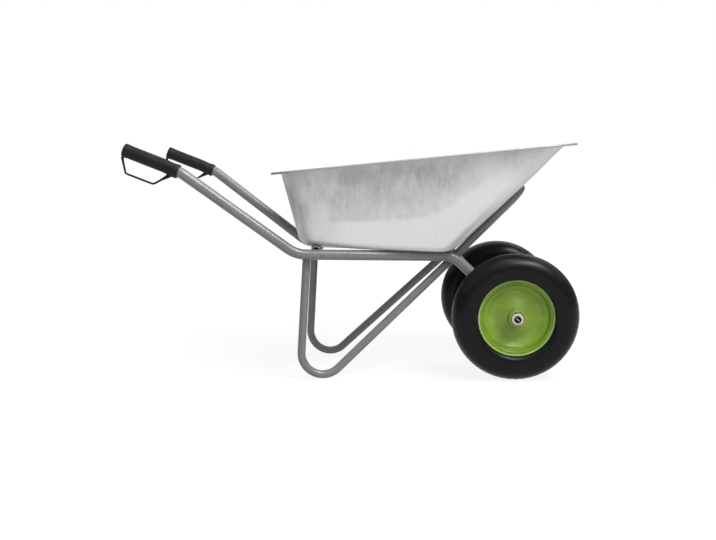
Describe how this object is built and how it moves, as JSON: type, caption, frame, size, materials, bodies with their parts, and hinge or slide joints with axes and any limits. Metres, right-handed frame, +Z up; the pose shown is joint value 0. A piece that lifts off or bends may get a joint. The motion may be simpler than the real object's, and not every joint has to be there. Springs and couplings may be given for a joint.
{
  "type": "two wheel wheelbarrow",
  "caption": "Garden wheelbarrow with a galvanised sheet tray on a bent steel tube frame, rubber grips with hand guards and pneumatic wheels rolling freely on a through axle.",
  "frame": {"origin": "on the ground, under the centre of the bounding box", "axes": "+X forward to the wheels, +Y to the left side, +Z up"},
  "size_m": [1.3312, 0.5734, 0.7236],
  "materials": {
    "galvanised_sheet": "galvanised, satin, light drawing streaks",
    "frame_paint": "satin grey paint",
    "rim_paint": "gloss leaf green paint",
    "tyre_rubber": "smooth black rubber",
    "tube_rubber": "matt black rubber",
    "grip_rubber": "matt black moulded rubber",
    "zinc_hardware": "zinc plated",
    "axle_steel": "dark steel tube",
    "bearing_steel": "plain bearing steel",
    "valve_rubber": "black rubber stem",
    "cap_plastic": "black plastic"
  },
  "bodies": {
    "chassis": {"tray": "galvanised_sheet", "right_frame_tube": "frame_paint", "left_frame_tube": "frame_paint", "right_leg_tube": "frame_paint", "left_leg_tube": "frame_paint", "front_arch": "frame_paint", "rear_crossbar": "frame_paint", "front_crossbar": "frame_paint", "tray_strap": "frame_paint", "right_axle_bush": "frame_paint", "left_axle_bush": "frame_paint", "axle": "axle_steel", "right_grip": "grip_rubber", "left_grip": "grip_rubber", "tray_bolts": "zinc_hardware", "tray_washers": "zinc_hardware", "tray_nuts": "zinc_hardware", "axle_washers": "zinc_hardware", "split_pins": "zinc_hardware"},
    "right_wheel": {"right_tyre": "tyre_rubber", "right_inner_tube": "tube_rubber", "right_rim_outer": "rim_paint", "right_rim_inner": "rim_paint", "right_hub": "rim_paint", "right_bearings": "bearing_steel", "right_valve": "valve_rubber", "right_valve_cap": "cap_plastic"},
    "left_wheel": {"left_tyre": "tyre_rubber", "left_inner_tube": "tube_rubber", "left_rim_outer": "rim_paint", "left_rim_inner": "rim_paint", "left_hub": "rim_paint", "left_bearings": "bearing_steel", "left_valve": "valve_rubber", "left_valve_cap": "cap_plastic"}
  },
  "joints": [
    {"name": "right_wheel_spin", "type": "hinge", "parent": "chassis", "child": "right_wheel", "pos_m": [0.4755, -0.215, 0.19], "axis": [0, 1, 0], "continuous": true},
    {"name": "left_wheel_spin", "type": "hinge", "parent": "chassis", "child": "left_wheel", "pos_m": [0.4755, 0.215, 0.19], "axis": [0, 1, 0], "continuous": true}
  ]
}
